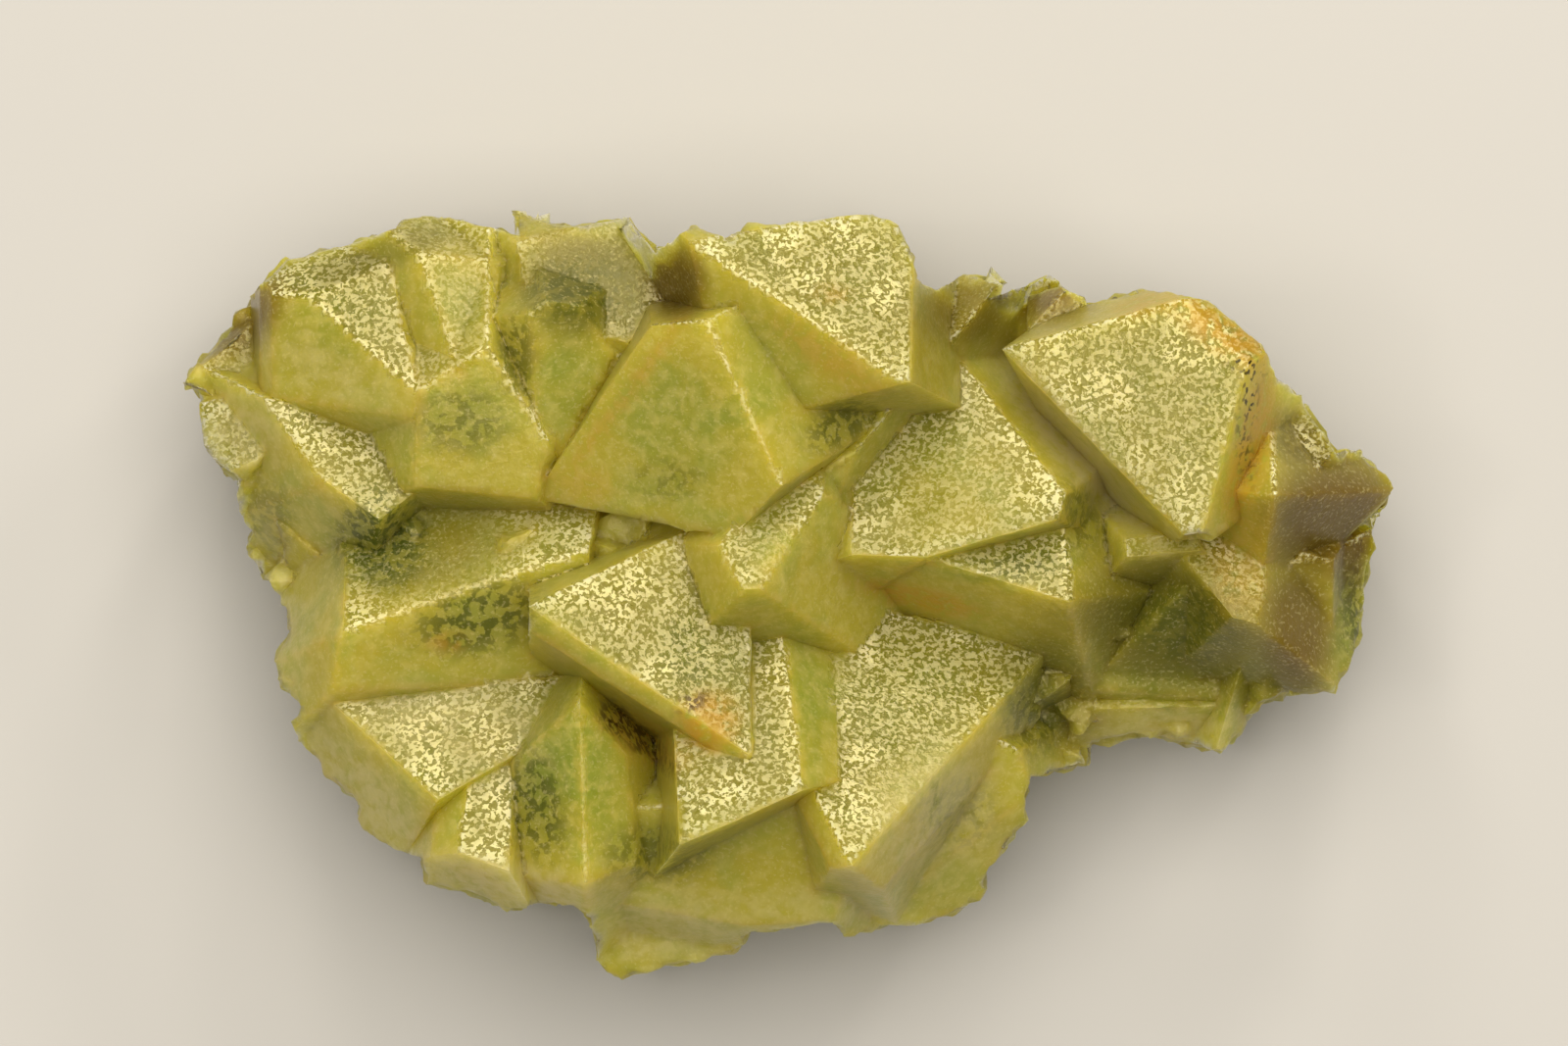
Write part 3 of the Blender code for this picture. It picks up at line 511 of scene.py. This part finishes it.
def frosted_fluorite():
    """Frosted fluorite in fine satin scales. On the faces turned to the light, their glitter is painted in
    as cream flecks with painted shade between them.
    Milk and green depths glow below. The hollows and some milky parts have a painted glow, some parts have
    painted shade, and iron stains and sooty dendrites lie on top."""
    material = bpy.data.materials.new("frosted_fluorite")
    material.use_nodes = True
    tree = material.node_tree
    tree.nodes.clear()
    place = add(tree, "ShaderNodeTexCoord").outputs["Object"]
    patterns = {}
    for name, width, detail, twist in PATTERNS:
        inputs = {"Vector": place, "Scale": 1.0 / width, "Detail": detail, "Distortion": twist}
        patterns[name] = add(tree, "ShaderNodeTexNoise", None, inputs).outputs["Fac"]
    marks = {}
    for name in MARKS:
        marks[name] = add(tree, "ShaderNodeAttribute", {"attribute_name": name}).outputs["Fac"]

    colour = linear(BODY_COLOUR)
    for mark, pattern, start, full, most, hex_colour in COLOUR_LAYERS:
        top = marks[mark] if mark else most
        if mark and most < 1.0:
            top = add(tree, "ShaderNodeMath", {"operation": "MULTIPLY"}, {0: top, 1: most}).outputs[0]
        share = add(tree, "ShaderNodeMapRange", {"interpolation_type": "SMOOTHSTEP"}, {
            "Value": patterns[pattern], "From Min": start, "From Max": full, "To Max": top,
        })
        colour = add(tree, "ShaderNodeMix", {"data_type": "RGBA"}, {
            "Factor": share.outputs[0], 6: colour, 7: linear(hex_colour),
        }).outputs[2]

    swell = add(tree, "ShaderNodeMath", {"operation": "MULTIPLY_ADD"}, {
        0: patterns["swell"], 1: SWELL_SHARE, 2: patterns["scales"],
    })
    raw = add(tree, "ShaderNodeMath", {"operation": "SUBTRACT"}, {0: 1.0, 1: marks["crystal"]})
    grain = add(tree, "ShaderNodeMath", {"operation": "MULTIPLY_ADD"}, {
        0: raw.outputs[0], 1: patterns["grit"], 2: swell.outputs[0],
    })
    strength = add(tree, "ShaderNodeMapRange", None, {
        "Value": marks["satin"], "To Min": RELIEF_STRENGTH[0], "To Max": RELIEF_STRENGTH[1],
    })
    bump = add(tree, "ShaderNodeBump", None, {
        "Strength": strength.outputs[0], "Distance": SCALE_HEIGHT, "Height": grain.outputs[0],
    })
    frosted = add(tree, "ShaderNodeMapRange", None, {
        "Value": marks["crystal"], "From Min": FROSTED_SHARE[0], "From Max": FROSTED_SHARE[1],
        "To Min": CRUST_ROUGHNESS, "To Max": CRYSTAL_ROUGHNESS,
    })
    roughness = add(tree, "ShaderNodeMapRange", None, {
        "Value": marks["satin"], "To Min": frosted.outputs[0], "To Max": SATIN_ROUGHNESS,
    })
    shader = add(tree, "ShaderNodeBsdfPrincipled", None, {
        "Base Color": colour, "Roughness": roughness.outputs[0], "Normal": bump.outputs[0],
        "Specular Tint": linear(GLINT_COLOUR), **STONE_VALUES,
    })
    absorb = add(tree, "ShaderNodeVolumeAbsorption", None, {
        "Color": linear(ABSORBED_COLOUR), "Density": ABSORPTION,
    })
    add(tree, "ShaderNodeOutputMaterial", None, {
        "Surface": shader.outputs[0], "Volume": absorb.outputs[0],
    })
    return material


def pale_floor():
    """A plain pale tabletop of matte board, which shows no reflections and isn't part of
    the specimen."""
    shape = bmesh.new()
    bmesh.ops.create_grid(shape, x_segments=1, y_segments=1, size=FLOOR_HALF_WIDTH)
    mesh = bpy.data.meshes.new("floor")
    shape.to_mesh(mesh)
    shape.free()
    floor = bpy.data.objects.new("floor", mesh)
    bpy.context.scene.collection.objects.link(floor)
    material = bpy.data.materials.new("pale_matte_board")
    material.use_nodes = True
    shader = material.node_tree.nodes["Principled BSDF"]
    shader.inputs["Base Color"].default_value = linear(FLOOR_COLOUR)
    shader.inputs["Roughness"].default_value = FLOOR_ROUGHNESS
    mesh.materials.append(material)


def softbox(name, azimuth, elevation, distance, size, watts):
    """A square soft light that looks at the crystals."""
    light = bpy.data.lights.new(name, "AREA")
    light.shape = "SQUARE"
    light.size = size
    light.energy = watts
    light.color = linear(LAMP_COLOUR)[:3]
    lamp = bpy.data.objects.new(name, light)
    turn = math.radians(azimuth)
    rise = math.radians(elevation)
    back = Vector((math.cos(turn) * math.cos(rise), math.sin(turn) * math.cos(rise), math.sin(rise)))
    lamp.location = Vector((0.0, 0.0, CRYSTAL_HEIGHT)) + back * distance
    lamp.rotation_mode = "QUATERNION"
    lamp.rotation_quaternion = back.to_track_quat("Z", "Y")
    bpy.context.scene.collection.objects.link(lamp)


def studio():
    """Small softboxes beyond the upper edge and at the left, a wide one overhead, a pale room."""
    for name, azimuth, elevation, distance, size, watts in SOFTBOXES:
        softbox(name, azimuth, elevation, distance, size, watts)
    world = bpy.data.worlds.new("pale_room")
    world.use_nodes = True
    background = world.node_tree.nodes["Background"]
    background.inputs["Color"].default_value = linear(ROOM_COLOUR)
    background.inputs["Strength"].default_value = ROOM_STRENGTH
    bpy.context.scene.world = world


def look_down():
    """The camera, looking straight down on the crystals."""
    data = bpy.data.cameras.new("camera")
    data.sensor_width = SENSOR
    data.lens = SENSOR * CAMERA_DISTANCE / VIEW_WIDTH
    camera = bpy.data.objects.new("camera", data)
    camera.location = (*VIEW_MIDDLE, CRYSTAL_HEIGHT + CAMERA_DISTANCE)
    bpy.context.scene.collection.objects.link(camera)
    bpy.context.scene.camera = camera


def main():
    """The specimen with its material, the floor, the lights and the camera."""
    look_down()
    skin = grown_skin(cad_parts["fluorite_cluster"])
    skin.data.materials.append(frosted_fluorite())
    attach(skin, "root")
    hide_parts("fluorite_cluster")
    pale_floor()
    studio()
    bpy.context.scene.view_settings.view_transform = "Standard"


main()
